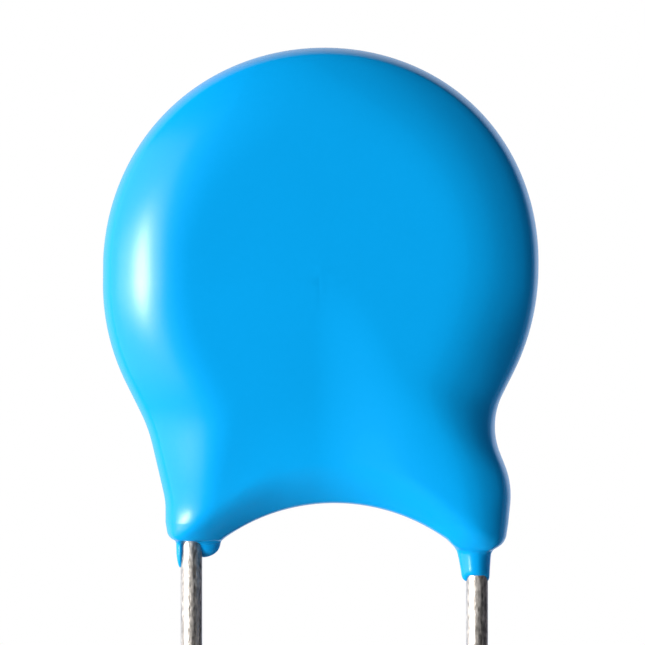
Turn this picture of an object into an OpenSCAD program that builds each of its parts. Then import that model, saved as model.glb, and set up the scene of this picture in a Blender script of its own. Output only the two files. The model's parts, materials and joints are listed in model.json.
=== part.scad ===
// Ceramic disc capacitor with two radial leads.
// A silvered ceramic disc sits between two wires that are soldered to its faces, and the
// whole head is dipped in epoxy. The wet coat drains down both wires before it sets.
// The front is -Y, +Z is up, and the right wire lies on the front of the disc. The origin lies
// midway between the two free leads, on the plane where a board meets the lowest point of the coat.

/* [Leads] */
// Distance between the two leads, seen from the front
lead_pitch = 7.5; // [6.5:0.5:10]
// Diameter of the tinned wire
lead_d = 0.57; // [0.45:0.01:0.7]
// Free length of each lead below the board plane
lead_length = 20; // [5:1:35]
// Distance of each free lead in front of or behind the middle of the part
lead_offset = 0.68; // [0.6:0.02:0.76]
// Radius of the slight bend at the board plane, where the wires spread to take the disc
spread_r = 6; // [4:0.5:8]
// Radius of the bend that lays the wire on the disc
knee_r = 1.2; // [0.9:0.1:1.8]
// Swelling of the wire's radius in its bends
bend_swell = 0.002; // [0.002:0.001:0.006]
// Height of that bend, inside the leg
knee_z = 2.4; // [2.2:0.1:2.6]
// Lean of the wire across the face of the disc, from upright
wire_lean = 28; // [22:1:34]
// Length of the wire from that bend to its end on the disc
wire_run = 6.7; // [6:0.1:7]

/* [Ceramic disc] */
// Diameter of the ceramic
disc_d = 9.8; // [9:0.1:11]
// Thickness of the ceramic
disc_t = 1; // [0.8:0.1:1.4]
// Sideways distance of the disc from the middle of the lead pair
disc_shift = -0.34; // [-0.5:0.02:0.5]
// Bare ceramic left round the silver on each face
silver_margin = 0.5; // [0.2:0.05:0.8]
// Thickness of the silver on each face
silver_t = 0.05; // [0.03:0.01:0.1]

/* [Solder] */
// Width of the solder bed at its foot
solder_w = 1.5; // [1:0.1:2]
// Height of the solder bed beside the wire
solder_h = 0.4; // [0.3:0.02:0.5]
// Length of wire held by the solder bed
solder_run = 3; // [2:0.1:3.2]
// Solder past the end of the wire
solder_lap = 0.35; // [0.2:0.05:0.6]
// Solder beside the wire at the top of the bed
solder_lip = 0.1; // [0.05:0.01:0.2]

/* [Coat] */
// Epoxy round the rim of the ceramic
coat_rim = 0.82; // [0.6:0.02:1.2]
// Epoxy over the wires on both faces
coat_face = 0.6; // [0.5:0.05:1]
// Roundness of the faces: 2 is a lens, more is flatter with a rounder rim
face_power = 3.2; // [2.4:0.1:3.6]
// Sideways lean of the top of the dome
dome_lean = 0.1; // [0:0.01:0.2]
// Fullness of the dome's shoulders outside the round of the disc
shoulder = 0.05; // [0:0.01:0.1]
// Epoxy outside each wire in the legs, front or back
leg_cover = 0.54; // [0.44:0.02:0.6]
// Half thickness of the skin that hangs between the legs
web_half = 1.05; // [0.9:0.05:1.2]
// Height below which the body thins
taper_z = 7.3; // [6.8:0.1:7.8]
// Height over which it thins to the legs
taper_h = 5; // [4.4:0.1:5.4]
// Distance of each leg's crest inside its wire
crest_in = 0.3; // [0.2:0.05:0.5]
// Gap between the epoxy and what it holds
bond = 0.01; // [0.005:0.005:0.02]

/* [Skirt] */
// Height of the arch between the legs
arch_rise = 2.02; // [1.6:0.02:2.6]
// Radius of the arch
arch_r = 5.02; // [4.5:0.1:7]
// Half of the angle that the arch spans
arch_span = 35.5; // [28:0.5:38]
// Sideways distance of the arch from the middle of the lead pair
arch_shift = 0.05; // [-0.2:0.05:0.2]
// Epoxy between the crown of the arch and the ceramic
web = 1.34; // [1:0.02:2]
// Lean of the flanks under the disc, from upright
flank_angle = 27; // [20:1:35]

/* [Left leg] */
// Swell of the left flank outside the round of the disc
left_swell = 0.22; // [0:0.01:0.4]
// Distance of the left neck outside its lead
left_neck_out = 1.12; // [0.9:0.02:1.3]
// Height of the left neck
left_neck_z = 3.99; // [3.6:0.05:4.4]
// Radius of the left neck
left_neck_r = 4; // [2:0.5:5]
// Distance of the left leg's side outside its lead
left_leg_out = 0.68; // [0.6:0.02:0.9]
// Radius of the bend where the flank meets the left leg
left_bend_r = 2; // [1:0.1:3]
// Height of the left leg's underside
left_toe_z = 1; // [0.85:0.05:1.1]
// Distance of the left leg's hip inside its lead
left_hip_in = 0.45; // [0.35:0.05:0.5]
// Radius of the rounds of that underside
left_toe_r = 0.32; // [0.2:0.02:0.4]
// Epoxy beside the left lead in the run that drains down its outer side
run_wall = 0.1; // [0.06:0.01:0.15]
// Height of the lowest point of that run
run_z = 0.3; // [0.2:0.02:0.5]
// Radius of that run at its tip
run_tip_r = 0.06; // [0.04:0.01:0.1]
// Radius of that run at its root
run_root_r = 0.22; // [0.18:0.01:0.26]
// Width of the drop that hangs on the inner side of the left lead
drop_w = 0.52; // [0.4:0.02:0.6]
// Height of the lowest point of that drop
drop_z = 0.53; // [0.4:0.01:0.7]
// Radius of that drop
drop_r = 0.33; // [0.28:0.01:0.4]

/* [Right leg] */
// Swell of the right flank outside the round of the disc
right_swell = 0.06; // [0:0.01:0.4]
// Distance of the right neck outside its lead
right_neck_out = 0.27; // [0.2:0.02:0.5]
// Height of the right neck
right_neck_z = 4.1; // [3.6:0.05:4.4]
// Radius of the right neck
right_neck_r = 2; // [1:0.1:3]
// Distance of the right leg's bulge outside its lead
bulge_out = 0.97; // [0.8:0.02:1.1]
// Height of that bulge above the leg's hip
bulge_h = 0.8; // [0.5:0.05:1.1]
// Radius of that bulge
bulge_r = 1.7; // [1:0.1:2.5]
// How far the right leg's hip lies inside its bulge
hip_tuck = 0.15; // [0.1:0.01:0.2]
// How far the right leg's heel lies inside its bulge
heel_tuck = 0.36; // [0.25:0.01:0.4]
// Height of the right leg's underside
right_toe_z = 0.78; // [0.7:0.02:1]
// Distance of the right leg's hip inside its lead
right_hip_in = 0.35; // [0.25:0.05:0.4]
// Radius of the rounds of that underside
right_toe_r = 0.45; // [0.2:0.05:0.5]
// Epoxy of the sleeve round the right lead, at its lower end
sleeve_wall = 0.035; // [0.02:0.005:0.08]
// Epoxy of the sleeve where it leaves the leg
sleeve_root = 0.12; // [0.08:0.01:0.2]
// Height of the notch in the sleeve's lower end
notch_h = 0.15; // [0.08:0.01:0.2]
// Radius of that notch
notch_r = 0.5; // [0.4:0.05:0.8]

/* [Hidden] */
$fn = 64;

coat_blue = [0.02, 0.6, 0.9];
ceramic_tan = [0.72, 0.56, 0.4];
silver_grey = [0.86, 0.86, 0.84];
solder_grey = [0.66, 0.67, 0.69];
tinned_grey = [0.76, 0.76, 0.78];

left = -1;
right = 1;
front = -1;
rear = 1;
lead_r = lead_d / 2;
lead_x = lead_pitch / 2;
disc_r = disc_d / 2;
disc_z = arch_rise + web + disc_r;
silver_r = disc_r - silver_margin;
face_y = disc_t / 2 + silver_t;
wire_y = face_y + bond + lead_r;
body_r = disc_r + coat_rim;
body_half = wire_y + lead_r + coat_face;
leg_near = lead_offset + lead_r + leg_cover;
leg_half = (leg_near + web_half) / 2;
leg_shift = (leg_near - web_half) / 2;
// Straight stretches of wire run this far into the bends
bend_lap = 0.04;
// Height of the legs' hips, the lowest place from which the coat's ribs run out
hip_z = 1.5;
// Width of a leg's underside beside what drains from it
toe_lap = 0.08;

// How finely the coat is drawn: ribs over the top, down each leg and round each toe, and rings
top_ribs = 30;
leg_ribs = 22;
toe_ribs = 22;
rings = 8;
fillet_steps = 10;
arch_steps = 24;
// How closely the ribs crowd towards the disc's middle
rib_crowd = 1.5;
// How far the ribs' ridge bows out from a straight line
ridge_bow = 0.5;
// Roundness of the coat's section in the legs and along the arch
leg_power = 2.1;
arch_power = 3.2;

// Plain helpers on points

function unit(v) = v / norm(v);
function mix(a, b, t) = a + (b - a) * t;
function ease(t) = t * t * (3 - 2 * t);

// The round of radius b[2] at corner b, on the way from a to c
function fillet(a, b, c) =
    let (corner = [b.x, b.y], back = [a.x, a.y] - corner, on = [c.x, c.y] - corner)
    let (half = acos(unit(back) * unit(on)) / 2)
    let (reach = min(b[2] / tan(half), norm(back) / 2, norm(on) / 2), r = reach * tan(half))
    let (middle = corner + unit(unit(back) + unit(on)) * r / sin(half))
    let (from = corner + unit(back) * reach - middle, to = corner + unit(on) * reach - middle)
    [for (i = [0 : fillet_steps]) middle + r * unit(mix(from, to, i / fillet_steps))];

// The rounds of all corners between the first and the last point
function rounded(corners) =
    [for (i = [1 : len(corners) - 2]) each fillet(corners[i - 1], corners[i], corners[i + 1])];

// How far along a path each of its points lies
function run_lengths(path) =
    [for (i = 0, s = 0; i < len(path);
          i = i + 1, s = s + (i < len(path) ? norm(path[i] - path[i - 1]) : 0)) s];

// n + 1 points at even distances along a path
function spread(path, n) =
    let (s = run_lengths(path), last = len(path) - 1)
    let (xs = [for (i = [0 : last]) [s[i], path[i].x]], zs = [for (i = [0 : last]) [s[i], path[i].y]])
    [for (i = [0 : n]) let (t = s[last] * i / n) [lookup(t, xs), lookup(t, zs)]];

function reversed(list) = [for (i = [len(list) - 1 : -1 : 0]) list[i]];

// The face of the disc that a side's wire lies on
function face_of(side) = side == right ? front : rear;

// Outline of the coat seen from the front, as [x, z] points.
// A leg's corners are [distance outside its lead, height, radius].

function outside(side, corners) = [for (c = corners) [side * (lead_x + c[0]), c[1], c[2]]];

// The flank starts upright at the disc's widest point and leans in to the neck
function flank_path(side, swell, corners, hip) =
    let (x = disc_shift + side * body_r)
    let (fall = (body_r + swell - body_r * cos(flank_angle)) / sin(flank_angle))
    let (first = [x, disc_z + fall, 0], shoulder = [x, disc_z - fall, fall / tan(flank_angle / 2)])
    let (all = concat([first, shoulder], outside(side, corners), outside(side, [hip])))
    concat(rounded(all), [[for (k = [0, 1]) all[len(all) - 1][k]]]);

function arch_path(side) =
    [for (i = [0 : arch_steps]) let (a = arch_span * i / arch_steps)
        [arch_shift + side * arch_r * sin(a), arch_rise - arch_r * (1 - cos(a))]];

function toe_path(side, corners, hip) =
    let (first = outside(side, [hip])[0], arch = arch_path(side), last = arch[arch_steps])
    concat([[first.x, first.y]], rounded(concat([first], outside(side, corners), [last])), [last]);

left_hip = [left_leg_out, hip_z, 0];
left_flank = [
    [left_neck_out, left_neck_z, left_neck_r],
    [left_leg_out, hip_z + lead_d, left_bend_r]
];
left_toe = [
    [left_leg_out - toe_lap, left_toe_z, left_toe_r],
    [-lead_r - drop_w - toe_lap, left_toe_z, left_toe_r]
];
right_hip = [bulge_out - hip_tuck, hip_z, 0];
right_flank = [
    [right_neck_out, right_neck_z, right_neck_r],
    [bulge_out, hip_z + bulge_h, bulge_r]
];
right_toe = [
    [bulge_out - heel_tuck, right_toe_z, right_toe_r],
    [-lead_r - sleeve_root - toe_lap, right_toe_z, right_toe_r]
];

// The ridge runs from the middle of the disc down to each leg, and ribs run out from it

function hip_x(side) = side * (lead_x - (side == left ? left_hip_in : right_hip_in));
function ridge(side, t) =
    [mix(disc_shift, hip_x(side), mix(t, sin(90 * t), ridge_bow)), mix(disc_z, hip_z, t)];

function ridge_share(j) = pow(j / leg_ribs, rib_crowd);
function power_at(power, j) = mix(power, leg_power, ridge_share(j));

ridges = concat(
    [ridge(left, 0)],
    [for (side = [left, right], j = [1 : leg_ribs]) ridge(side, ridge_share(j))]
);
function ridge_id(side, j) = j == 0 ? 0 : side == left ? j : leg_ribs + j;

// A rib is [outline point, ridge point's number, roundness]

function leg_side(side, swell, flank, toe, hip) =
    let (outer = spread(flank_path(side, swell, flank, hip), leg_ribs))
    let (under = spread(toe_path(side, toe, hip), toe_ribs))
    let (inner = spread(arch_path(side), leg_ribs))
    concat(
        [for (j = [0 : leg_ribs]) [outer[j], ridge_id(side, j), power_at(face_power, j)]],
        [for (i = [1 : toe_ribs - 1]) [under[i], ridge_id(side, leg_ribs), leg_power]],
        [for (j = [leg_ribs : -1 : 1]) [inner[j], ridge_id(side, j), power_at(arch_power, j)]]
    );

function dome_point(a) =
    let (r = body_r + shoulder * pow(sin(2 * a), 2))
    [disc_shift + r * cos(a) + dome_lean * sin(a), disc_z + r * sin(a)];

ribs = concat(
    [for (i = [1 : top_ribs - 1]) [dome_point(180 * i / top_ribs), 0, face_power]],
    leg_side(left, left_swell, left_flank, left_toe, left_hip),
    [[[arch_shift, arch_rise], 0, arch_power]],
    reversed(leg_side(right, right_swell, right_flank, right_toe, right_hip))
);

// How far the coat has thinned from the body, 0, to the legs, 1, at a height
function thinned(z) = ease(min(1, max(0, (taper_z - z) / taper_h)));

// Distance of a leg's crest from the middle of the lead pair, which follows the wire
function crest_x(z) = lead_x - crest_in - max(0, min(z, taper_z) - knee_z) * tan(wire_lean);

// How far out a place lies from the middle of the web, 0, to a leg's crest, 1
function outward(x, z) = ease(min(1, abs(x) / crest_x(z)));

// Depth of the middle of the coat, and its half thickness away from the outline
function middle_y(x, z) = face_of(sign(x)) * leg_shift * outward(x, z) * thinned(z);
function half_at(x, z) = mix(body_half, mix(web_half, leg_half, outward(x, z)), thinned(z));

// The point on a rib at ring k, where ring 0 is the outline
function rib_point(rib, k, face) =
    let (a = 90 * (1 - k / rings), p = 2 / rib[2], out = pow(sin(a), p), rise = pow(cos(a), p))
    let (at = mix(ridges[rib[1]], rib[0], out))
    [at.x, middle_y(at.x, at.y) + face * half_at(at.x, at.y) * rise, at.y];

rib_count = len(ribs);
ridge_count = len(ridges);
function ring_start(k, face) = k == 0 ? 0 : rib_count * (face == front ? k : rings - 1 + k);
function ridge_start(face) = rib_count * (2 * rings - 1) + (face == front ? 0 : ridge_count);
function facing(face, triangle) = face == front ? triangle : reversed(triangle);

skin_points = concat(
    [for (rib = ribs) rib_point(rib, 0, front)],
    [for (face = [front, rear], k = [1 : rings - 1], rib = ribs) rib_point(rib, k, face)],
    [for (face = [front, rear], m = ridges)
        [m.x, middle_y(m.x, m.y) + face * half_at(m.x, m.y), m.y]]
);

skin_faces = [
    for (face = [front, rear], i = [0 : rib_count - 1]) let (n = (i + 1) % rib_count)
        each concat(
            [for (k = [0 : rings - 2]) let (a = ring_start(k, face), b = ring_start(k + 1, face))
                each [facing(face, [a + i, b + n, a + n]), facing(face, [a + i, b + i, b + n])]],
            let (a = ring_start(rings - 1, face), m = ridge_start(face))
            let (here = ribs[i][1], next = ribs[n][1])
            here == next
                ? [facing(face, [a + i, m + here, a + n])]
                : [facing(face, [a + i, m + next, a + n]), facing(face, [a + i, m + here, m + next])]
        )
];

// Wires

// A round rod or cone from p to q
module taper(p, q, r1, r2) {
    d = q - p;
    translate(p)
        rotate([0, acos(d.z / norm(d)), atan2(d.y, d.x)])
            cylinder(h = norm(d), r1 = r1, r2 = r2);
}

module rod(p, q, r) {
    taper(p, q, r, r);
}

// A round bend of wire at corner b, on the way from a to c
module elbow(a, b, c, bend_r, r) {
    u = unit(b - a);
    v = unit(c - b);
    turn = acos(u * v);
    middle = b + unit(v - u) * bend_r / cos(turn / 2);
    x = unit(b - u * bend_r * tan(turn / 2) - middle);
    z = unit(cross(u, v));
    multmatrix([
        [x.x, u.x, z.x, middle.x],
        [x.y, u.y, z.y, middle.y],
        [x.z, u.z, z.z, middle.z]
    ])
        rotate_extrude(angle = turn)
            translate([bend_r, 0])
                circle(r + bend_swell);
}

function bend_reach(a, b, c, bend_r) = bend_r * tan(acos(unit(b - a) * unit(c - b)) / 2);

// Corners of a wire: its free end, the spread, the knee and its end on the disc.
// The spread's bend starts on the board plane.
function wire_path(side) =
    let (face = face_of(side), knee = [side * lead_x, face * wire_y, knee_z])
    let (turn = atan((wire_y - lead_offset) / knee_z))
    [
        [side * lead_x, face * lead_offset, -lead_length],
        [side * lead_x, face * lead_offset, spread_r * tan(turn / 2)],
        knee,
        knee + wire_run * [-side * sin(wire_lean), 0, cos(wire_lean)]
    ];

// A wire of radius r, drawn past its end on the disc by the length given
module wire(side, r, past = 0) {
    p = wire_path(side);
    low = bend_reach(p[0], p[1], p[2], spread_r) - bend_lap;
    high = bend_reach(p[1], p[2], p[3], knee_r) - bend_lap;
    up = unit(p[2] - p[1]);
    along = unit(p[3] - p[2]);
    rod(p[0], p[1] - [0, 0, low], r);
    elbow(p[0], p[1], p[2], spread_r, r);
    rod(p[1] + low * up, p[2] - high * up, r);
    elbow(p[1], p[2], p[3], knee_r, r);
    rod(p[2] + high * along, p[3] + past * along, r);
}

// Core

// A flat disc centred on the ceramic's axis, from one depth to another
module flat_disc(r, from_y, to_y) {
    translate([disc_shift, from_y, disc_z])
        rotate([-90, 0, 0])
            cylinder(r = r, h = to_y - from_y, $fn = 128);
}

// A low bed of solder with sloping sides, along the end of a wire
module solder_bed(side, grow = 0) {
    p = wire_path(side);
    along = unit(p[3] - p[2]);
    hull()
        for (at = [wire_run - solder_run, wire_run + solder_lap - lead_r])
            translate([0, face_of(side) * face_y - p[2].y, 0] + p[2] + at * along)
                rotate([-90 * face_of(side), 0, 0])
                    cylinder(
                        h = solder_h + grow,
                        r1 = solder_w / 2 + grow,
                        r2 = lead_r + grow + solder_lip,
                        $fn = 32
                    );
}

// What the coat holds, with its gap
module core_space() {
    flat_disc(disc_r + bond, -disc_t / 2 - bond, disc_t / 2 + bond);
    flat_disc(silver_r + bond, -face_y - bond, face_y + bond);
    for (side = [left, right]) {
        wire(side, lead_r + bond, bond);
        solder_bed(side, bond);
    }
}

// What has drained down the wires: a drop and a run on the left lead, a sleeve on the right one

module left_drop() {
    translate([
        -lead_x + lead_r + drop_w - drop_r,
        face_of(left) * (lead_offset + drop_r / 2),
        drop_z + drop_r
    ])
        sphere(drop_r);
}

module left_run() {
    edge_x = -lead_x - lead_r;
    y = face_of(left) * lead_offset;
    taper(
        [edge_x + run_wall / 2, y - run_tip_r, run_z],
        [edge_x - run_wall + run_root_r, y - run_wall, left_toe_z + run_root_r],
        run_tip_r,
        run_root_r
    );
}

module right_sleeve() {
    y = face_of(right) * lead_offset;
    difference() {
        taper(
            [lead_x, y, 0],
            [lead_x - sleeve_root / 2, y, right_toe_z + sleeve_root],
            lead_r + sleeve_wall,
            lead_r + sleeve_root
        );
        translate([lead_x, y, notch_h - notch_r])
            rotate([90, 0, 0])
                cylinder(r = notch_r, h = 4 * lead_d, center = true);
    }
}

// Sub-parts

module epoxy_coat() {
    color(coat_blue)
        difference() {
            union() {
                polyhedron(skin_points, skin_faces);
                left_drop();
                left_run();
                right_sleeve();
            }
            core_space();
        }
}

module ceramic_disc() {
    color(ceramic_tan)
        flat_disc(disc_r, -disc_t / 2, disc_t / 2);
}

module electrode(face) {
    color(silver_grey)
        flat_disc(silver_r, min(face * disc_t / 2, face * face_y), max(face * disc_t / 2, face * face_y));
}

// The wire's own groove in the solder reaches down to the silver
module solder(side) {
    color(solder_grey)
        difference() {
            solder_bed(side);
            wire(side, lead_r + 2 * bond, bond);
        }
}

module lead(side) {
    color(tinned_grey)
        wire(side, lead_r);
}

epoxy_coat();
ceramic_disc();
electrode(front);  // front_electrode
electrode(rear);  // rear_electrode
solder(right);  // front_solder
solder(left);  // rear_solder
lead(right);  // front_lead
lead(left);  // rear_lead
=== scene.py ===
"""Ceramic disc capacitor: a dipped blue body on two tinned leads, on a plain white stage.

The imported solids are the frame. The epoxy coat and both wires are modelled again, finer and smoother than the
solids and in the same places. The ceramic, the silver and the solder inside the coat stay as packed.
Shapes are worked out in millimetres, as the solids are, and turned to metres when a piece is finished.
"""

import json
import math
from collections import namedtuple

import bmesh
import bpy
from bpy.props import FloatProperty, FloatVectorProperty, IntProperty, PointerProperty
from mathutils import Matrix, Vector
from mathutils.kdtree import KDTree


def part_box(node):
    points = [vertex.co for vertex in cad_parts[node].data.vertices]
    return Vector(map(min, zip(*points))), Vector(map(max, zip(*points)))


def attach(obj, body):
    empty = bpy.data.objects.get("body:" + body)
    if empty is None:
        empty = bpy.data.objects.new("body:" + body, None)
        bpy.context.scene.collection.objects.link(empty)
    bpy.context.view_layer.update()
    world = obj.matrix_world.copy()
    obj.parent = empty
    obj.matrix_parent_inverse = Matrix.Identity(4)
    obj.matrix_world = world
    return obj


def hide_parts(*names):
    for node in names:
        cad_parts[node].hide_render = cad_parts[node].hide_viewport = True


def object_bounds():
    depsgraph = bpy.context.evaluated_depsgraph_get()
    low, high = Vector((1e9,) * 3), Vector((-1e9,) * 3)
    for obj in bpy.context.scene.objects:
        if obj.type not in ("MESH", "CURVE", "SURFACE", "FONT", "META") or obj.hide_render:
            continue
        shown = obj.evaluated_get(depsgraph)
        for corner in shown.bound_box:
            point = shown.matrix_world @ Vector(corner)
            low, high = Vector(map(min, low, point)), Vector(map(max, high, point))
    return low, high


bl_info = {
    "name": "Ceramic Disc Capacitor",
    "version": (1, 0, 0),
    "blender": (4, 5, 0),
    "location": "View3D > Sidebar > Capacitor",
    "description": "Builds a dipped ceramic disc capacitor, its inner parts and a white stage",
    "category": "Add Mesh",
}

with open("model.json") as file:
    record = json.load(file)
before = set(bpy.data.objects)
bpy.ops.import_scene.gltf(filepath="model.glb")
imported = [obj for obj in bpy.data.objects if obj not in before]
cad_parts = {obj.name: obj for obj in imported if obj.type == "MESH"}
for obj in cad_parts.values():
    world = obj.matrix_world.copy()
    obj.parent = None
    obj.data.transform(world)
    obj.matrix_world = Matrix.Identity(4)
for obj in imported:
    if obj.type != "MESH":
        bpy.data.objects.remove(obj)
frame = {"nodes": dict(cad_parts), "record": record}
cad_low, cad_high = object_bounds()

MM = 0.001
NANOMETRES = 1e9
LEFT = -1
RIGHT = 1
FRONT = -1
REAR = 1
# The face of the disc that each side's wire lies on
FACE_OF = {LEFT: REAR, RIGHT: FRONT}

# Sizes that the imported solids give, in millimetres

mounts = {mount["name"]: mount for mount in frame["record"]["mounts"]}
LEAD_R = mounts["front_lead"]["dims"]["r_mm"]
LEAD_LENGTH = mounts["front_lead"]["dims"]["length_mm"]
LEAD_X = mounts["front_lead"]["pos_m"][0] / MM
LEAD_OFFSET = -mounts["front_lead"]["pos_m"][1] / MM

disc_low, disc_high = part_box("ceramic_disc")
DISC_X = (disc_low.x + disc_high.x) / 2 / MM
DISC_Z = (disc_low.z + disc_high.z) / 2 / MM

wire_low, wire_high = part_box("front_lead")
WIRE_Y = -wire_low.y / MM - LEAD_R

coat_low, coat_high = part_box("epoxy_coat")
BODY_R = (coat_high.x - coat_low.x) / 2 / MM
BODY_HALF = (coat_high.y - coat_low.y) / 2 / MM

# The picture: its width in pixels, its pixels per millimetre, and the pixel where the part's origin lies

PICTURE = 645
PICTURE_SCALE = 38.07
ORIGIN_ACROSS = 333.6
ORIGIN_DOWN = 580


class CoatSettings(bpy.types.PropertyGroup):
    """Sizes and colour of the dipped coat."""

    blue: FloatVectorProperty(
        name="Epoxy Blue",
        description="Colour of the coat",
        subtype="COLOR",
        size=3,
        min=0,
        max=1,
        default=(0.001, 0.37, 0.83),
    )
    roughness: FloatProperty(
        name="Roughness",
        description="Roughness of the set epoxy",
        subtype="FACTOR",
        min=0,
        max=1,
        default=0.22,
    )
    arch_rise: FloatProperty(
        name="Arch Height",
        description="Height of the arch between the legs above the board",
        unit="LENGTH",
        precision=5,
        default=2.02 * MM,
    )
    arch_radius: FloatProperty(
        name="Arch Radius",
        description="Radius of the arch between the legs",
        unit="LENGTH",
        precision=5,
        default=5.02 * MM,
    )
    web_half: FloatProperty(
        name="Web",
        description="Half thickness of the skin that hangs between the legs",
        unit="LENGTH",
        precision=5,
        default=1.05 * MM,
    )
    leg_swell: FloatProperty(
        name="Leg Swell",
        description="Height of the swelling over each wire, on the face where it lies",
        unit="LENGTH",
        precision=5,
        default=0.5 * MM,
    )
    leg_sink: FloatProperty(
        name="Leg Sink",
        description="Depth of the hollow on each leg's other face",
        unit="LENGTH",
        precision=5,
        default=0.75 * MM,
    )
    rim_rings: IntProperty(
        name="Rim Rings",
        description="Rings of faces round the rim, on each side",
        min=4,
        max=32,
        default=12,
    )
    roll_rings: IntProperty(
        name="Roll Rings",
        description="Rings of faces where the coat falls towards its rim, on each side",
        min=4,
        max=32,
        default=12,
    )
    flat_rings: IntProperty(
        name="Flat Rings",
        description="Rings of faces between the roll and the ridge, on each side",
        min=2,
        max=24,
        default=10,
    )


class WireSettings(bpy.types.PropertyGroup):
    """Sizes and colour of the two tinned wires."""

    tin: FloatVectorProperty(
        name="Tin",
        description="Colour of the tinned wire",
        subtype="COLOR",
        size=3,
        min=0,
        max=1,
        default=(0.79, 0.72, 0.65),
    )
    knee_height: FloatProperty(
        name="Knee Height",
        description="Height of the bend that lays the wire on the disc",
        unit="LENGTH",
        precision=5,
        default=2.4 * MM,
    )
    knee_radius: FloatProperty(
        name="Knee Radius",
        description="Radius of the bend that lays the wire on the disc",
        unit="LENGTH",
        precision=5,
        default=1.2 * MM,
    )
    spread_radius: FloatProperty(
        name="Spread Radius",
        description="Radius of the slight bend at the board",
        unit="LENGTH",
        precision=5,
        default=6 * MM,
    )
    lean: FloatProperty(
        name="Lean",
        description="Lean of the wire across the face of the disc, from upright",
        subtype="ANGLE",
        default=math.radians(28),
    )
    run: FloatProperty(
        name="Run",
        description="Length of the wire from that bend to its end",
        unit="LENGTH",
        precision=5,
        default=6.7 * MM,
    )
    sides: IntProperty(
        name="Sides",
        description="Faces round the wire",
        min=12,
        max=96,
        default=64,
    )


class StageSettings(bpy.types.PropertyGroup):
    """The camera and the lamps."""

    view_width: FloatProperty(
        name="View Width",
        description="Width of the picture at the middle of the part",
        unit="LENGTH",
        precision=5,
        default=PICTURE / PICTURE_SCALE * MM,
    )
    view_x: FloatProperty(
        name="View X",
        description="Sideways place of the picture's middle",
        unit="LENGTH",
        precision=5,
        default=(PICTURE / 2 - ORIGIN_ACROSS) / PICTURE_SCALE * MM,
    )
    view_z: FloatProperty(
        name="View Z",
        description="Height of the picture's middle",
        unit="LENGTH",
        precision=5,
        default=(ORIGIN_DOWN - PICTURE / 2) / PICTURE_SCALE * MM,
    )
    view_distance: FloatProperty(
        name="View Distance",
        description="Distance of the camera from the part",
        unit="LENGTH",
        default=0.15,
    )
    key_angle: FloatProperty(
        name="Key Angle",
        description="Angle of the key light to the left of the camera",
        subtype="ANGLE",
        default=math.radians(54),
    )
    key_power: FloatProperty(
        name="Key Power",
        description="Power of the key light",
        unit="POWER",
        default=1.33,
    )
    wall_angle: FloatProperty(
        name="Wall Angle",
        description="Angle of the dim wall to the left of the camera",
        subtype="ANGLE",
        default=math.radians(72),
    )
    wall_power: FloatProperty(
        name="Wall Power",
        description="Power of the dim wall",
        unit="POWER",
        default=0.58,
    )
    rim_angle: FloatProperty(
        name="Rim Angle",
        description="Angle of the rim's fill light to the right of the camera",
        subtype="ANGLE",
        default=math.radians(105),
    )
    rim_power: FloatProperty(
        name="Rim Power",
        description="Power of the rim's fill light",
        unit="POWER",
        default=0.17,
    )


# Plain helpers on numbers and points


def mix(a, b, t):
    """The value at share t of the way from a to b."""
    return a + (b - a) * t


def ease(t):
    """A smooth step from 0 to 1."""
    t = min(1.0, max(0.0, t))
    return t * t * (3 - 2 * t)


def eased(stops, t):
    """Values that ease from stop to stop. A stop is (place, value, value)."""
    for before, after in zip(stops, stops[1:]):
        if t <= after[0]:
            k = ease((t - before[0]) / (after[0] - before[0]))
            return [mix(a, b, k) for a, b in zip(before[1:], after[1:])]
    return stops[-1][1:]


def soft_max(a, b, blend=0.1):
    """The larger of two values, with a smooth change from one to the other."""
    return (a + b + math.hypot(a - b, blend)) / 2


def fillet(a, corner, c, radius, steps=24):
    """Points of the round at a corner, on the way from a to c."""
    back = a - corner
    on = c - corner
    half = back.angle(on) / 2
    reach = min(radius / math.tan(half), back.length / 2, on.length / 2)
    r = reach * math.tan(half)
    back.normalize()
    on.normalize()
    middle = corner + (back + on).normalized() * r / math.sin(half)
    start = corner + back * reach - middle
    end = corner + on * reach - middle
    return [middle + r * mix(start, end, i / steps).normalized() for i in range(steps + 1)]


def rounded(corners):
    """The rounds of all corners between the first and the last. A corner is (point, radius)."""
    points = []
    for before, corner, after in zip(corners, corners[1:], corners[2:]):
        points += fillet(before[0], corner[0], after[0], corner[1])
    return points


def spread(path, count):
    """count + 1 points at even distances along a path."""
    lengths = [0.0]
    for p, q in zip(path, path[1:]):
        lengths.append(lengths[-1] + (q - p).length)
    points = []
    k = 0
    for i in range(count + 1):
        s = lengths[-1] * i / count
        while k < len(path) - 2 and lengths[k + 1] < s:
            k += 1
        span = lengths[k + 1] - lengths[k]
        points.append(mix(path[k], path[k + 1], (s - lengths[k]) / span if span else 0))
    return points


# The coat's form, in millimetres

# Down the coat its web thins, it swells over each wire and it sinks on that leg's other face. Each of
# these has the height where it starts, the height over which it grows, and its power.
TAPER_Z = 7.8
TAPER_H = 6.3
TAPER_POWER = 1.1
SWELL_Z = 7.8
SWELL_H = 5.4
SWELL_POWER = 1.2
SINK_Z = 5.4
SINK_H = 4.6
SINK_POWER = 1.8

# Across the coat, towards a leg, where the swelling and the hollow start, and how far inside the wire
# they end
CREST_START = -0.5
SINK_START = -2.0
CREST_IN = 0.3

# The dome's sideways lean, the fullness of its shoulders, and the angle below its widest point where a
# flank starts
DOME_LEAN = 0.1
SHOULDER = 0.05
FLANK_ANGLE = math.radians(27)

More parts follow.
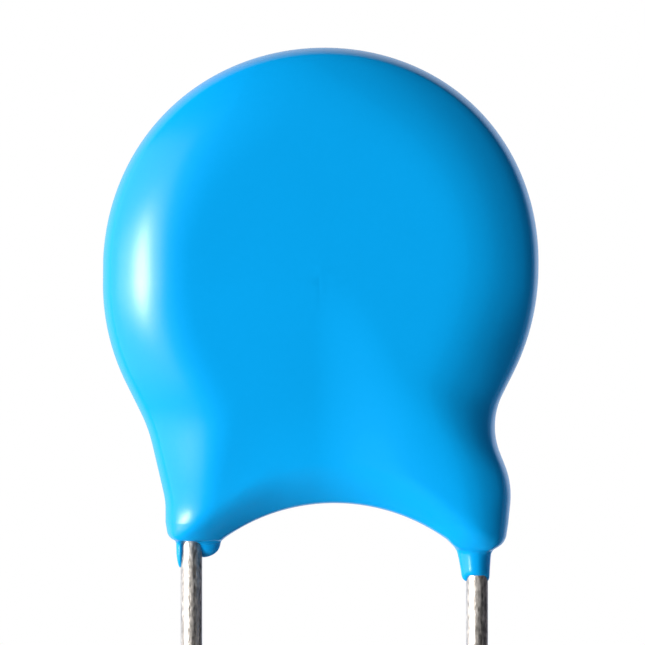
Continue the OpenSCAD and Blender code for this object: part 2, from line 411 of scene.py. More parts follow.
# The arch: half of its angle and its sideways place. The coat drops towards it over a roll that is widest
# near the middle and narrows beside it towards the legs, and then turns its rim.
ARCH_SPAN = math.radians(35.5)
ARCH_SHIFT = 0.05
ARCH_DROP = 0.66
ARCH_ROLL = 1.15
ARCH_LEG_ROLL = 0.85
ARCH_MIDDLE = 1.2
ARCH_BESIDE = 2.2
ARCH_RIM = 0.06

# The ribs that the coat is drawn on: how many, how they crowd towards the disc's middle, and the least
# share of a rib that stays flat
TOP_RIBS = 96
LEG_RIBS = 64
TOE_RIBS = 64
RIB_CROWD = 1.5
LEAST_FLAT = 0.1

# Each leg's corners are (distance outside its lead, height, radius), and the swell of its flank is
# measured from the disc. Down its side, as (place, width, share), how wide the coat falls towards its rim
# and by what share of its thickness. The bow is the power of that fall, toe_keep the power with which the
# fall fades under the toe, and the rim the width over which the coat turns to its outline. The leg's
# ridge ends hip_in inside its lead, and ridge_start is the share of its lean that it has from the start.
HIP_Z = 1.5
LEGS = {
    LEFT: {
        "swell": 0.22,
        "side": [(0, 2.4, 0.61), (0.6, 2.35, 0.66), (1, 1.45, 0.59)],
        "bow": 2.0,
        "rim": 0.3,
        "flank": [(1.12, 3.99, 4), (0.68, 2.07, 2)],
        "hip": (0.68, HIP_Z, 0),
        "hip_in": 0.6,
        "ridge_start": 0.4,
        "toe": [(0.6, 1.0, 0.32), (-0.8, 1.0, 0.12)],
        "toe_keep": 1,
    },
    RIGHT: {
        "swell": 0.06,
        "side": [(0, 2.6, 0.41), (0.34, 2.6, 0.6), (0.62, 2.6, 0.55), (0.8, 2.3, 0.48), (1, 1.6, 0.56)],
        "bow": 2.6,
        "rim": 0.25,
        "flank": [(0.3, 4.12, 2), (0.93, 2.55, 2.2)],
        "hip": (0.82, HIP_Z, 0),
        "hip_in": 0.6,
        "ridge_start": 1.35,
        "toe": [(0.74, 1.0, 0.5), (0.36, 0.78, 0.3), (-0.485, 0.78, 0.45)],
        "toe_keep": 2.2,
    },
}

# What hangs from the left leg beside its lead, as (middle, half sizes): a drop and a thin run
DROPS = (
    ((-3.457, 0.85, 1.02), (0.51, 0.3, 0.46)),
    ((-4.045, 0.69, 0.99), (0.115, 0.21, 0.69)),
)

# The epoxy drained down each wire: where it leaves the coat, and round the wire from the front through
# the left, as (angle, height, wall), how low it ends and how thick it starts
SLEEVES = {
    LEFT: (1.3, [(0, 1.2, 0.06), (95, 1.2, 0.06), (180, 0.6, 0.3), (265, 1.2, 0.06), (360, 1.2, 0.06)]),
    RIGHT: (
        1.1,
        [
            (0, 0.15, 0.17),
            (40, 0.15, 0.22),
            (85, 0.0, 0.34),
            (180, 0.12, 0.3),
            (275, 0.0, 0.12),
            (325, 0.15, 0.14),
            (360, 0.15, 0.17),
        ],
    ),
}

# The share of its wall that a sleeve keeps at its end, the power of its flare, the share of its height
# over which its end is rounded, and how deep that end is sunk into the wire
SLEEVE_THIN = 0.34
SLEEVE_FLARE = 1.6
SLEEVE_END = 0.16
SLEEVE_SUNK = 0.02

# The seams between the body and what drained from it are smoothed this far out, and this often for each
# width
SEAM_WIDTHS = (0.3, 0.22, 0.14, 0.07)
SEAM_ROUNDS = 7

# The ring of faces next to a wire's cut end
CUT_EDGE = 0.03


def outside(side, corner):
    """A leg's corner as a point and its radius."""
    out, z, radius = corner
    return Vector((side * (LEAD_X + out), z)), radius


def flank_path(side):
    """The coat's side, from the disc's widest point down to the hip."""
    leg = LEGS[side]
    x = DISC_X + side * BODY_R
    fall = (BODY_R + leg["swell"] - BODY_R * math.cos(FLANK_ANGLE)) / math.sin(FLANK_ANGLE)
    corners = [(Vector((x, DISC_Z + fall)), 0)]
    corners.append((Vector((x, DISC_Z - fall)), fall / math.tan(FLANK_ANGLE / 2)))
    corners += [outside(side, corner) for corner in leg["flank"] + [leg["hip"]]]
    return rounded(corners) + [corners[-1][0]]


def arch_path(side, coat, steps=48):
    """Half of the arch, from its crown down to a leg."""
    rise = coat.arch_rise / MM
    radius = coat.arch_radius / MM
    points = []
    for i in range(steps + 1):
        a = ARCH_SPAN * i / steps
        points.append(Vector((ARCH_SHIFT + side * radius * math.sin(a), rise - radius * (1 - math.cos(a)))))
    return points


def toe_path(side, coat):
    """The underside of a leg, from its hip round to the end of the arch."""
    leg = LEGS[side]
    corners = [outside(side, corner) for corner in [leg["hip"]] + leg["toe"]]
    corners.append((arch_path(side, coat)[-1], 0))
    return [corners[0][0]] + rounded(corners) + [corners[-1][0]]


def dome_point(a):
    """A point of the dome at an angle from the disc's right side."""
    r = BODY_R + SHOULDER * math.sin(2 * a) ** 2
    return Vector((DISC_X + r * math.cos(a) + DOME_LEAN * math.sin(a), DISC_Z + r * math.sin(a)))


def ridge_point(side, t):
    """A point of the ridge that runs from the disc's middle down to a leg."""
    leg = LEGS[side]
    hip_x = side * (LEAD_X - leg["hip_in"])
    return Vector((mix(DISC_X, hip_x, mix(t ** 3, t, leg["ridge_start"])), mix(DISC_Z, HIP_Z, t)))


# A rib runs from a foot on the ridge to a point of the outline. It falls by a share of its thickness over
# the roll's width, and turns the rest over the rim's width.
Rib = namedtuple("Rib", "edge foot roll fall bow rim")


def leg_ribs(side, coat):
    """A side's ribs: down its flank, round under its toe and up the arch."""
    leg = LEGS[side]
    feet = [ridge_point(side, (j / LEG_RIBS) ** RIB_CROWD) for j in range(LEG_RIBS + 1)]
    outer = spread(flank_path(side), LEG_RIBS)
    under = spread(toe_path(side, coat), TOE_RIBS)
    inner = spread(arch_path(side, coat), LEG_RIBS)
    ribs = []
    for j in range(LEG_RIBS + 1):
        roll, fall = eased(leg["side"], j / LEG_RIBS)
        ribs.append(Rib(outer[j], feet[j], roll, fall, leg["bow"], leg["rim"]))
    for i in range(1, TOE_RIBS):
        t = i / TOE_RIBS
        rim = mix(leg["rim"], ARCH_RIM, ease(2 * t))
        toe_fall = fall * (1 - t ** leg["toe_keep"])
        ribs.append(Rib(under[i], feet[-1], mix(roll, ARCH_ROLL, t), toe_fall, leg["bow"], rim))
    for j in range(LEG_RIBS, 0, -1):
        ribs.append(Rib(inner[j], feet[j], ARCH_ROLL, 0, leg["bow"], ARCH_RIM))
    return ribs


def coat_ribs(coat):
    """The coat's ribs in order round its outline."""
    middle = ridge_point(LEFT, 0)
    ends = [(*LEGS[side]["side"][0][1:], LEGS[side]["bow"], LEGS[side]["rim"]) for side in (RIGHT, LEFT)]
    top = []
    for i in range(1, TOP_RIBS):
        left = ease(2 * i / TOP_RIBS - 1)
        top.append(Rib(dome_point(math.pi * i / TOP_RIBS), middle, *(mix(a, b, left) for a, b in zip(*ends))))
    crown = [Rib(arch_path(LEFT, coat)[0], middle, ARCH_ROLL, 0, LEGS[LEFT]["bow"], ARCH_RIM)]
    return top + leg_ribs(LEFT, coat) + crown + leg_ribs(RIGHT, coat)[::-1]


def share(z, top, height, power):
    """How far down a place lies below a height: 0 at the top, 1 from the given height below it."""
    return min(1.0, max(0.0, (top - z) / height)) ** power


def coat_depth(x, z, face, coat, wire):
    """The distance of one face of the coat from the middle of the part, away from the outline."""
    web = mix(BODY_HALF, coat.web_half / MM, share(z, TAPER_Z, TAPER_H, TAPER_POWER))
    side = RIGHT if face == FACE_OF[RIGHT] else LEFT
    climb = max(0.0, min(z, TAPER_Z) - wire.knee_height / MM)
    crest = LEAD_X - CREST_IN - climb * math.tan(wire.lean)
    near = ease((side * x - CREST_START) / (crest - CREST_START))
    far = ease((-side * x - SINK_START) / (crest - SINK_START))
    swell = coat.leg_swell / MM * share(z, SWELL_Z, SWELL_H, SWELL_POWER) * near
    sink = coat.leg_sink / MM * share(z, SINK_Z, SINK_H, SINK_POWER) * far
    radius = coat.arch_radius / MM
    away = math.hypot(x - ARCH_SHIFT, z - coat.arch_rise / MM + radius) - radius
    reach = mix(ARCH_ROLL, ARCH_LEG_ROLL, ease((abs(x) - ARCH_MIDDLE) / ARCH_BESIDE))
    return web + swell - sink - ARCH_DROP * reach / ARCH_ROLL * max(0.0, 1 - away / reach) ** 2


def coat_point(rib, coat, wire, ring, face):
    """The point of a rib on a ring: ring 0 is the outline, then come the rim, the roll and the flat part."""
    length = (rib.edge - rib.foot).length
    flat = soft_max(LEAST_FLAT, 1 - rib.roll / length)
    rim = max(flat, 1 - rib.rim / length)
    if ring <= coat.rim_rings:
        out = mix(rim, 1, math.cos(math.pi / 2 * ring / coat.rim_rings))
    elif ring <= coat.rim_rings + coat.roll_rings:
        out = mix(rim, flat, (ring - coat.rim_rings) / coat.roll_rings)
    else:
        out = flat * (1 - (ring - coat.rim_rings - coat.roll_rings) / coat.flat_rings)
    fall = rib.fall * min(1.0, (1 - flat) * length / rib.roll)
    down = max(0.0, (out - flat) / (1 - flat))
    turn = min(1.0, max(0.0, (out - rim) / (1 - rim)))
    rise = (1 - fall * down ** rib.bow) * math.sqrt(1 - turn * turn)
    at = mix(rib.foot, rib.edge, out)
    front = -coat_depth(at.x, at.y, FRONT, coat, wire)
    rear = coat_depth(at.x, at.y, REAR, coat, wire)
    middle = (front + rear) / 2
    return Vector((at.x, middle + face * (rear - front) / 2 * (rise if ring else 0.0), at.y))


# Shapes made with bmesh


def next_ring(bm, edges, value_of):
    """Extrude a ring of edges: what each new vertex takes over from the one it left, and the new edges."""
    made = bmesh.ops.extrude_edge_only(bm, edges=edges)["geom"]
    verts = {item for item in made if isinstance(item, bmesh.types.BMVert)}
    taken = {}
    for vert in verts:
        for edge in vert.link_edges:
            other = edge.other_vert(vert)
            if other in value_of:
                taken[vert] = value_of[other]
    return taken, [item for item in made if isinstance(item, bmesh.types.BMEdge) and set(item.verts) <= verts]


def loft_coat(bm, coat, wire):
    """Draw the outline, then extrude it ring by ring over the front and the back to the ridge."""
    ribs = coat_ribs(coat)
    rim = bmesh.ops.create_circle(bm, segments=len(ribs), radius=1)["verts"]
    for vert, rib in zip(rim, ribs):
        vert.co = coat_point(rib, coat, wire, 0, FRONT)
    rim_edges = list(bm.edges)
    for face in (FRONT, REAR):
        edges = rim_edges
        rib_of = dict(zip(rim, ribs))
        for ring in range(1, coat.rim_rings + coat.roll_rings + coat.flat_rings + 1):
            rib_of, edges = next_ring(bm, edges, rib_of)
            for vert, rib in rib_of.items():
                vert.co = coat_point(rib, coat, wire, ring, face)
    bmesh.ops.remove_doubles(bm, verts=bm.verts, dist=1e-5)
    bmesh.ops.dissolve_degenerate(bm, dist=1e-6, edges=bm.edges)
    bmesh.ops.recalc_face_normals(bm, faces=bm.faces)


def drained_sleeve(bm, x, y, root_z, stops, sides=96, rings=24):
    """Epoxy that has drained down a wire: its lower end and its thickness differ all the way round.

    A stop is (angle, height of the lower end, wall at the root), from the front through the left.
    """
    made = bmesh.ops.create_circle(bm, cap_ends=True, segments=sides, radius=1)["verts"]
    angle_of = {vert: math.tau * i / sides for i, vert in enumerate(made)}
    edges = list(bm.edges)
    for ring in range(rings + 1):
        if ring:
            angle_of, edges = next_ring(bm, edges, angle_of)
        t = math.sin(math.pi / 2 * ring / rings)
        flare = mix(1, SLEEVE_THIN, 1 - (1 - t) ** SLEEVE_FLARE)
        turn = max(0.0, 1 - (1 - t) / SLEEVE_END)
        for vert, angle in angle_of.items():
            low, wall = eased(stops, math.degrees(angle))
            r = LEAD_R - SLEEVE_SUNK + (wall * flare + SLEEVE_SUNK) * math.sqrt(1 - turn * turn)
            vert.co = Vector((x - r * math.sin(angle), y - r * math.cos(angle), mix(root_z, low, t)))
    cap = bmesh.ops.holes_fill(bm, edges=edges, sides=0)["faces"]
    bmesh.ops.poke(bm, faces=cap)
    bmesh.ops.recalc_face_normals(bm, faces=bm.faces)


def hanging_drop(bm, at, size):
    """A rounded drop, given by its middle and its half sizes."""
    made = bmesh.ops.create_uvsphere(bm, u_segments=48, v_segments=32, radius=1)["verts"]
    bmesh.ops.scale(bm, vec=size, verts=made)
    bmesh.ops.translate(bm, vec=at, verts=made)


def first_face(made):
    """The first face of what an operator made."""
    return next(item for item in made if isinstance(item, bmesh.types.BMFace))


def bend(bm, face, corner, before, after, radius, steps):
    """Carry the wire's end face round a bend at a corner, and return the new end face."""
    turn = before.angle(after)
    middle = corner + (after - before).normalized() * radius / math.cos(turn / 2)
    made = bmesh.ops.spin(
        bm,
        geom=[face],
        cent=middle,
        axis=before.cross(after).normalized(),
        dvec=(0, 0, 0),
        angle=turn,
        space=Matrix(),
        steps=steps,
        use_merge=False,
    )["geom_last"]
    bmesh.ops.delete(bm, geom=[face], context="FACES_KEEP_BOUNDARY")
    return first_face(made)


def run_straight(bm, face, to):
    """Carry the wire's end face straight on until its middle reaches a point, and return the new end face."""
    end = first_face(bmesh.ops.extrude_face_region(bm, geom=[face])["geom"])
    bmesh.ops.translate(bm, verts=end.verts, vec=to - end.calc_center_median())
    bmesh.ops.delete(bm, geom=[face], context="FACES_KEEP_BOUNDARY")
    return end


def draw_wire(bm, side, wire):
    """A wire from its cut end, up past the board, round the spread and the knee and across the disc."""
    front_or_rear = FACE_OF[side]
    knee = Vector((side * LEAD_X, front_or_rear * WIRE_Y, wire.knee_height / MM))
    tip = Vector((side * LEAD_X, front_or_rear * LEAD_OFFSET, -LEAD_LENGTH))
    turn = math.atan((WIRE_Y - LEAD_OFFSET) / knee.z)
    low = Vector((tip.x, tip.y, wire.spread_radius / MM * math.tan(turn / 2)))
    end = knee + wire.run / MM * Vector((-side * math.sin(wire.lean), 0, math.cos(wire.lean)))
    made = bmesh.ops.create_circle(bm, cap_ends=True, segments=wire.sides, radius=LEAD_R)["verts"]
    bmesh.ops.translate(bm, verts=made, vec=tip)
    cut = first_face(bm.faces)
    face = first_face(bmesh.ops.extrude_face_region(bm, geom=[cut])["geom"])
    face = run_straight(bm, face, tip + Vector((0, 0, CUT_EDGE)))
    corners = [(low, wire.spread_radius / MM, 6), (knee, wire.knee_radius / MM, 16)]
    route = [tip, low, knee, end]
    for k, (corner, radius, steps) in enumerate(corners, start=1):
        before = (route[k] - route[k - 1]).normalized()
        after = (route[k + 1] - route[k]).normalized()
        reach = radius * math.tan(before.angle(after) / 2)
        face = run_straight(bm, face, corner - before * reach)
        face = bend(bm, face, corner, before, after, radius, steps)
    face = run_straight(bm, face, mix(end, knee, CUT_EDGE / (end - knee).length))
    run_straight(bm, face, end)
    bmesh.ops.remove_doubles(bm, verts=bm.verts, dist=1e-6)
    bmesh.ops.recalc_face_normals(bm, faces=bm.faces)


def finished(bm, name, finish):
    """Turn a bmesh in millimetres into a smooth piece in metres, with its flat ends left flat."""
    bmesh.ops.scale(bm, vec=(MM, MM, MM), verts=bm.verts)
    for face in bm.faces:
        face.smooth = len(face.verts) <= 4
    mesh = bpy.data.meshes.new(name)
    bm.to_mesh(mesh)
    bm.free()
    mesh.materials.append(finish)
    piece = bpy.data.objects.new(name, mesh)
    bpy.context.scene.collection.objects.link(piece)
    return piece


def vertex_keys(mesh):
    """The places of a mesh's vertices, to the nearest nanometre."""
    return {tuple(round(c * NANOMETRES) for c in vert.co) for vert in mesh.vertices}


def soften(mesh, seams):
    """Round off the seams of a mesh: smooth what lies near them, and what lies nearest the most."""
    tree = KDTree(len(seams))
    for i, place in enumerate(seams):
        tree.insert([c / NANOMETRES for c in place], i)
    tree.balance()
    bm = bmesh.new()
    bm.from_mesh(mesh)
    for width in SEAM_WIDTHS:
        near = [vert for vert in bm.verts if tree.find(vert.co)[2] < width * MM]
        for _ in range(SEAM_ROUNDS):
            bmesh.ops.smooth_vert(
                bm, verts=near, factor=0.5, use_axis_x=True, use_axis_y=True, use_axis_z=True
            )
    bm.to_mesh(mesh)
    bm.free()


def united(piece, others):
    """Join other closed shapes to a piece with a boolean, round off the seams, and remove the others."""
    known = set().union(*(vertex_keys(item.data) for item in [piece, *others]))
    for other in others:
        union = piece.modifiers.new("union", "BOOLEAN")
        union.operation = "UNION"
        union.solver = "EXACT"
        union.object = other
    bpy.context.view_layer.update()
    shape = piece.evaluated_get(bpy.context.evaluated_depsgraph_get())
    mesh = bpy.data.meshes.new_from_object(shape)
    old = piece.data
    piece.modifiers.clear()
    piece.data = mesh
    bpy.data.meshes.remove(old)
    mesh.name = piece.name
    soften(mesh, vertex_keys(mesh) - known)
    for other in others:
        bpy.data.meshes.remove(other.data)


# Finishes


class Field:
    """A node's output that Python's operators work on."""

    def __init__(self, tree, socket):
        self.tree = tree
        self.socket = socket

    def math(self, operation, *values):
        """Add a Math node and return its output."""
        node = self.tree.nodes.new("ShaderNodeMath")
        node.operation = operation
        for socket, value in zip(node.inputs, values):
            feed(self.tree, socket, value)
        return Field(self.tree, node.outputs[0])

    def __add__(self, other):
        return self.math("ADD", self, other)

    def __sub__(self, other):
        return self.math("SUBTRACT", self, other)

    def __rsub__(self, other):
        return self.math("SUBTRACT", other, self)

    def __mul__(self, other):
        return self.math("MULTIPLY", self, other)

    def __or__(self, other):
        return self.math("MAXIMUM", self, other)

    __radd__ = __add__
    __rmul__ = __mul__


def feed(tree, socket, value):
    """Link a field to a socket, or set the socket to a plain value."""
    if isinstance(value, Field):
        tree.links.new(value.socket, socket)
    else:
        socket.default_value = value


class Nodes:
    """A node tree that is written as expressions."""

    def __init__(self, tree):
        self.tree = tree

    def feed(self, node, **inputs):
        """Link or set a node's sockets, each by its name or, as i0 and so on, by its number."""
        for name, value in inputs.items():
            key = int(name[1:]) if name[0] == "i" and name[1:].isdigit() else name.replace("_", " ")
            feed(self.tree, node.inputs[key], value)

    def add(self, kind, output=0, settings=None, **inputs):
        """Add any node. Its settings are set first, then its sockets, and one output comes back."""
        node = self.tree.nodes.new("ShaderNode" + kind)
        for name, value in (settings or {}).items():
            setattr(node, name, value)
        self.feed(node, **inputs)
        return Field(self.tree, node.outputs[output])


def new_finish(name, **constants):
    """A material with its shader's constant sockets set, its nodes and its shader."""
    material = bpy.data.materials.new(name)
    material.use_nodes = True
    nodes = Nodes(material.node_tree)
    shader = material.node_tree.nodes["Principled BSDF"]
    nodes.feed(shader, **constants)
    return material, nodes, shader


def tones(nodes, amount, pale, dark):
    """A colour between two tones."""
    return nodes.add("Mix", 2, {"data_type": "RGBA"}, i0=amount, i6=(*dark, 1), i7=(*pale, 1))


def scaled(colour, factor):
    """A colour made lighter or darker."""
    return tuple(min(1.0, c * factor) for c in colour)


def blue_epoxy(coat):
    """Glossy dipped epoxy with soft drifts of tone, fine pigment and a faint ripple."""
    colour = tuple(coat.blue)
    material, nodes, shader = new_finish("blue_epoxy", IOR=1.5)
    place = nodes.add("TexCoord", 3)
    drift = nodes.add("TexNoise", 0, None, Vector=place, Scale=260.0, Detail=2.0)
    pigment = nodes.add("TexNoise", 0, None, Vector=place, Scale=9000.0, Detail=3.0)
    ripple = nodes.add("TexNoise", 0, None, Vector=place, Scale=420.0, Detail=1.0)
    tone = drift * 0.7 + pigment * 0.3
    nodes.feed(
        shader,
        Base_Color=tones(nodes, tone, scaled(colour, 1.06), scaled(colour, 0.94)),
        Roughness=coat.roughness + (pigment - 0.5) * 0.06,
        Normal=nodes.add("Bump", 0, None, Strength=0.05, Distance=0.0001, Height=ripple + pigment * 0.12),
    )
    return material


def tinned_wire(wire):
    """Bright tin over drawn wire, with fine streaks along it and duller patches."""
    colour = tuple(wire.tin)
    material, nodes, shader = new_finish("tinned_wire")
    place = nodes.add("TexCoord", 3)
    along = nodes.add("Mapping", 0, None, Vector=place, Scale=(14000.0, 14000.0, 260.0))
    streak = nodes.add("TexNoise", 0, None, Vector=along, Scale=1.0, Detail=4.0)
    blotch = nodes.add("Mapping", 0, None, Vector=place, Scale=(15000.0, 15000.0, 7000.0))
    patch = nodes.add("TexNoise", 0, None, Vector=blotch, Scale=1.0, Detail=3.0)
    tone = nodes.add("MapRange", 0, None, Value=streak * 0.4 + patch * 0.6, i1=0.35, i2=0.65)
    nodes.feed(
        shader,
        Base_Color=tones(nodes, tone, scaled(colour, 1.15), scaled(colour, 0.6)),
        Metallic=0.95 - tone * 0.35,
        Roughness=0.3 + tone * 0.2,
        Normal=nodes.add("Bump", 0, None, Strength=0.5, Distance=0.00001, Height=tone),
    )
    return material


def fine_bump(nodes, grain):
    """The faint relief of a fine grain."""
    return nodes.add("Bump", 0, None, Strength=0.3, Distance=0.00002, Height=grain)


def fired_ceramic():
    """Matt tan ceramic with a fine sintered grain."""
    material, nodes, shader = new_finish("fired_ceramic", IOR=1.6)
    place = nodes.add("TexCoord", 3)
    grain = nodes.add("TexNoise", 0, None, Vector=place, Scale=7000.0, Detail=4.0)
    cloud = nodes.add("TexNoise", 0, None, Vector=place, Scale=500.0, Detail=2.0)
    tone = grain * 0.6 + cloud * 0.4
    nodes.feed(
        shader,
        Base_Color=tones(nodes, tone, (0.56, 0.36, 0.19), (0.36, 0.2, 0.09)),
        Roughness=0.6 + grain * 0.25,
        Normal=fine_bump(nodes, grain),
    )
    return material


def metal_film(name, pale, dark, rough, scale):
    """A matt metal skin with a mottled grain."""
    material, nodes, shader = new_finish(name, Metallic=1.0)
    place = nodes.add("TexCoord", 3)
    grain = nodes.add("TexNoise", 0, None, Vector=place, Scale=scale, Detail=4.0)
    nodes.feed(
        shader,
        Base_Color=tones(nodes, grain, pale, dark),
        Roughness=rough + grain * 0.25,
        Normal=fine_bump(nodes, grain),
    )
    return material


def dress(node, material):
    """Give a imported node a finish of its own."""
    slots = frame["nodes"][node].data.materials
    slots.clear()
    slots.append(material)


# The stage, in metres

# The key light is bright in its middle and fades outwards: lamps behind one frame, as (name, share of the
# power, size, whether the part mirrors it). It hangs a little low.
KEY_LAMPS = (
    ("key_core", 0.36, (0.06, 0.12), True),
    ("key_halo", 0.16, (0.12, 0.16), True),
    ("key_spread", 0.14, (0.22, 0.17), True),
    ("key_light", 0.25, (0.12, 0.17), False),
)
KEY_DISTANCE = 0.28
KEY_DROP = -0.05

# The dim wall on the left and the fill light for the right rim
SIDE_DISTANCE = 0.3
WALL_SIZE = (0.42, 0.4)
RIM_SIZE = (0.2, 0.2)
RIM_COLOUR = (1.0, 0.8, 1.0)

# The floor lies just under the leads and fades out between two distances
FLOOR_R = 0.055
FLOOR_GAP = 0.0002
FLOOR_FADE = (0.015, 0.05)
FLOOR_COLOUR = (0.85, 0.85, 0.86, 1)

# The studio in front of the part: its colour, its light, and what the part mirrors of it
STUDIO_COLOUR = (0.5, 0.75, 1.0, 1)
STUDIO_LIGHT = 0.09
STUDIO_MIRRORED = 0.012

# The white backdrop starts this far behind the part and fades in over a depth. Mirrored in the part it
# starts further back, is turned to the left and upwards, and has a tint.
BACKDROP_START = 0.15
BACKDROP_BACK = 0.25
BACKDROP_FADE = 0.4
BACKDROP_TURN = (-0.28, 0.0, 0.4)
BACKDROP_WHITE = (1, 1, 1)
BACKDROP_TINT = (0.62, 0.74, 0.95)


def bearing(angle, height=0.0):
    """A direction at an angle to the left of the camera."""
    return Vector((-math.sin(angle), -math.cos(angle), height))


def add_lamp(name, place, aim, power, size, shape="RECTANGLE"):
    """A soft lamp that faces the part."""
    lamp = bpy.data.lights.new(name, "AREA")
    lamp.shape = shape
    lamp.size, lamp.size_y = size
    lamp.energy = power
    holder = bpy.data.objects.new(name, lamp)
    holder.location = place
    holder.rotation_euler = (aim - place).to_track_quat("-Z", "Y").to_euler()
    bpy.context.scene.collection.objects.link(holder)
    return holder


def add_lamps(settings):
    """The key light and the dim wall on the left, and the rim's fill light on the right."""
    aim = Vector((settings.view_x, 0, settings.view_z))
    key = aim + bearing(settings.key_angle, KEY_DROP) * KEY_DISTANCE
    for name, power_share, size, mirrored in KEY_LAMPS:
        lamp = add_lamp(name, key, aim, settings.key_power * power_share, size, "ELLIPSE")
        lamp.visible_glossy = mirrored
    wall = aim + bearing(settings.wall_angle) * SIDE_DISTANCE
    add_lamp("left_wall", wall, aim, settings.wall_power, WALL_SIZE)
    rim = aim + bearing(-settings.rim_angle) * SIDE_DISTANCE
    rim_lamp = add_lamp("rim_fill", rim, aim, settings.rim_power, RIM_SIZE)
    rim_lamp.data.color = RIM_COLOUR
    rim_lamp.visible_glossy = False


def add_camera(scene, settings):
    """A camera straight in front of the part."""
    camera = bpy.data.cameras.new("camera")
    camera.sensor_width = 36
    camera.lens = camera.sensor_width * settings.view_distance / settings.view_width
    camera.clip_start = 0.005
    camera.clip_end = 10
    holder = bpy.data.objects.new("camera", camera)
    holder.location = (settings.view_x, -settings.view_distance, settings.view_z)
    holder.rotation_euler = (math.pi / 2, 0, 0)
    scene.collection.objects.link(holder)
    scene.camera = holder


def build_floor(scene):
    """A pale round floor under the leads that fades out into the white surroundings."""
    bm = bmesh.new()
    bmesh.ops.create_circle(bm, cap_ends=True, segments=96, radius=FLOOR_R)
    bmesh.ops.translate(bm, verts=bm.verts, vec=(0, 0, cad_low.z - FLOOR_GAP))
    mesh = bpy.data.meshes.new("floor")
    bm.to_mesh(mesh)
    bm.free()
    floor = bpy.data.objects.new("floor", mesh)
    scene.collection.objects.link(floor)
    material, nodes, shader = new_finish("pale_floor", Base_Color=FLOOR_COLOUR, Roughness=0.9)
    place = nodes.add("TexCoord", 3)
    distance = nodes.add("VectorMath", 1, {"operation": "LENGTH"}, i0=place)
    smooth = {"interpolation_type": "SMOOTHSTEP"}
    fade = nodes.add("MapRange", 0, smooth, Value=distance, i1=FLOOR_FADE[0], i2=FLOOR_FADE[1])
    clear = nodes.add("BsdfTransparent")
    shown = nodes.add("MixShader", 0, None, Fac=fade, i1=Field(nodes.tree, shader.outputs[0]), i2=clear)
    nodes.feed(nodes.tree.nodes["Material Output"], Surface=shown)
    mesh.materials.append(material)
    floor.visible_glossy = False


def build_surroundings(scene):
    """A white backdrop behind the part and a dark studio in front of it; all white to the camera."""
    world = bpy.data.worlds.new("surroundings")
    world.use_nodes = True
    scene.world = world
    nodes = Nodes(world.node_tree)
    direction = nodes.add("TexCoord", 0)
    camera = nodes.add("LightPath", "Is Camera Ray")
    through = nodes.add("LightPath", "Is Transmission Ray")
    mirrored = nodes.add("LightPath", "Is Glossy Ray")
    depth = nodes.add("SeparateXYZ", 1, None, Vector=direction)
    turned = nodes.add("VectorMath", 1, {"operation": "DOT_PRODUCT"}, i0=direction, i1=BACKDROP_TURN)
    reach = depth + mirrored * turned
    start = BACKDROP_START + mirrored * BACKDROP_BACK
    smooth = {"interpolation_type": "SMOOTHSTEP"}
    behind = nodes.add("MapRange", 0, smooth, Value=reach, i1=start, i2=start + BACKDROP_FADE)
    tint = tones(nodes, mirrored, BACKDROP_TINT, BACKDROP_WHITE)
    backdrop = nodes.add("Background", 0, None, Color=tint, Strength=1.0)
    studio = world.node_tree.nodes["Background"]
    light = STUDIO_LIGHT + mirrored * (STUDIO_MIRRORED - STUDIO_LIGHT)
    nodes.feed(studio, Color=STUDIO_COLOUR, Strength=light)
    seen = camera | through | behind
    shown = nodes.add("MixShader", 0, None, Fac=seen, i1=Field(nodes.tree, studio.outputs[0]), i2=backdrop)
    nodes.feed(world.node_tree.nodes["World Output"], Surface=shown)


# Operators


class CAPACITOR_OT_coat(bpy.types.Operator):
    """Build the dipped epoxy coat with its arch, legs and drained sleeves"""

    bl_idname = "capacitor.coat"
    bl_label = "Epoxy Coat"

    def execute(self, context):
        """Loft the body, add what drained down each wire and join them."""
        coat = context.scene.capacitor_coat
        finish = blue_epoxy(coat)
        body = bmesh.new()
        loft_coat(body, coat, context.scene.capacitor_wire)
        piece = finished(body, "dipped_coat", finish)
        drained = []
        for side, (root_z, stops) in SLEEVES.items():
            bm = bmesh.new()
            drained_sleeve(bm, side * LEAD_X, FACE_OF[side] * LEAD_OFFSET, root_z, stops)
            drained.append(finished(bm, "drained_sleeve", finish))
        for middle, sizes in DROPS:
            bm = bmesh.new()
            hanging_drop(bm, Vector(middle), Vector(sizes))
            drained.append(finished(bm, "hanging_drop", finish))
        united(piece, drained)
        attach(piece, "root")
        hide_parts("epoxy_coat")
        return {"FINISHED"}


class CAPACITOR_OT_wires(bpy.types.Operator):
    """Build the two tinned wires"""

    bl_idname = "capacitor.wires"
    bl_label = "Tinned Wires"

    def execute(self, context):
        """Draw each wire along its route."""
        wire = context.scene.capacitor_wire
        finish = tinned_wire(wire)
        for side, node in ((RIGHT, "front_lead"), (LEFT, "rear_lead")):
            bm = bmesh.new()
            draw_wire(bm, side, wire)
            piece = finished(bm, node.replace("lead", "wire"), finish)
            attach(piece, "root")
            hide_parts(node)
        return {"FINISHED"}


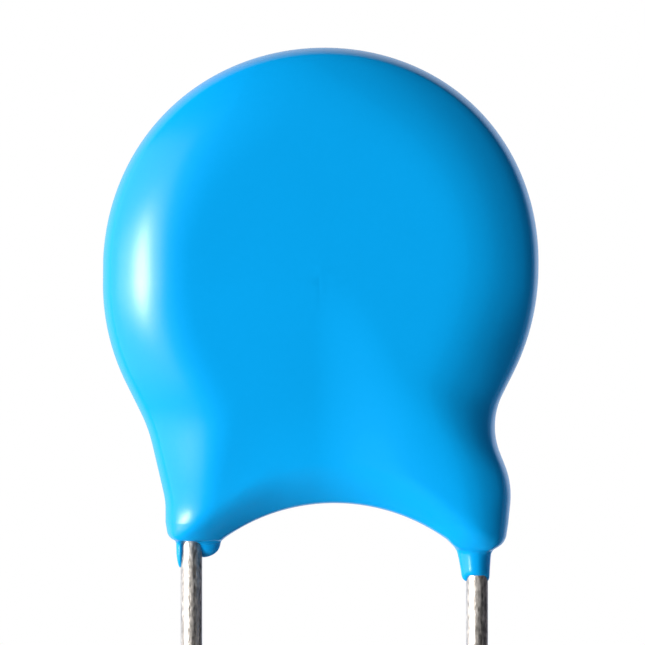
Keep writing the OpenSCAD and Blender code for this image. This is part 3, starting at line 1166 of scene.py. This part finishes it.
class CAPACITOR_OT_core(bpy.types.Operator):
    """Finish the ceramic, the silver and the solder inside the coat"""

    bl_idname = "capacitor.core"
    bl_label = "Core"

    def execute(self, context):
        """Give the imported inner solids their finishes."""
        dress("ceramic_disc", fired_ceramic())
        silver = metal_film("fired_silver", (0.8, 0.79, 0.76), (0.6, 0.59, 0.56), 0.35, 4000.0)
        solder = metal_film("soft_solder", (0.62, 0.63, 0.66), (0.4, 0.41, 0.44), 0.2, 1800.0)
        for side in ("front", "rear"):
            dress(side + "_electrode", silver)
            dress(side + "_solder", solder)
        return {"FINISHED"}


class CAPACITOR_OT_stage(bpy.types.Operator):
    """Set the floor, the lamps, the white surroundings and the camera"""

    bl_idname = "capacitor.stage"
    bl_label = "Stage"

    def execute(self, context):
        """Build the stage round the part."""
        settings = context.scene.capacitor_stage
        context.scene.view_settings.view_transform = "Standard"
        build_floor(context.scene)
        build_surroundings(context.scene)
        add_lamps(settings)
        add_camera(context.scene, settings)
        return {"FINISHED"}


class CAPACITOR_PT_panel(bpy.types.Panel):
    """Shows the capacitor's settings and the buttons that build its pieces"""

    bl_idname = "CAPACITOR_PT_panel"
    bl_label = "Disc Capacitor"
    bl_space_type = "VIEW_3D"
    bl_region_type = "UI"
    bl_category = "Capacitor"

    def draw(self, context):
        """Show the settings and a button for each operator."""
        scene = context.scene
        for settings in (scene.capacitor_coat, scene.capacitor_wire, scene.capacitor_stage):
            box = self.layout.box()
            for name in settings.__annotations__:
                box.prop(settings, name)
        for operator in OPERATORS:
            self.layout.operator(operator.bl_idname)


OPERATORS = (CAPACITOR_OT_coat, CAPACITOR_OT_wires, CAPACITOR_OT_core, CAPACITOR_OT_stage)
CLASSES = (CoatSettings, WireSettings, StageSettings, *OPERATORS, CAPACITOR_PT_panel)


def register():
    """Register the classes and hang the settings on the scene."""
    for cls in CLASSES:
        bpy.utils.register_class(cls)
    bpy.types.Scene.capacitor_coat = PointerProperty(type=CoatSettings)
    bpy.types.Scene.capacitor_wire = PointerProperty(type=WireSettings)
    bpy.types.Scene.capacitor_stage = PointerProperty(type=StageSettings)


def unregister():
    """Take the settings and the classes away again."""
    del bpy.types.Scene.capacitor_stage
    del bpy.types.Scene.capacitor_wire
    del bpy.types.Scene.capacitor_coat
    for cls in reversed(CLASSES):
        bpy.utils.unregister_class(cls)


def main():
    """Build every piece and the stage."""
    register()
    bpy.ops.capacitor.coat()
    bpy.ops.capacitor.wires()
    bpy.ops.capacitor.core()
    bpy.ops.capacitor.stage()


if __name__ == "__main__":
    main()
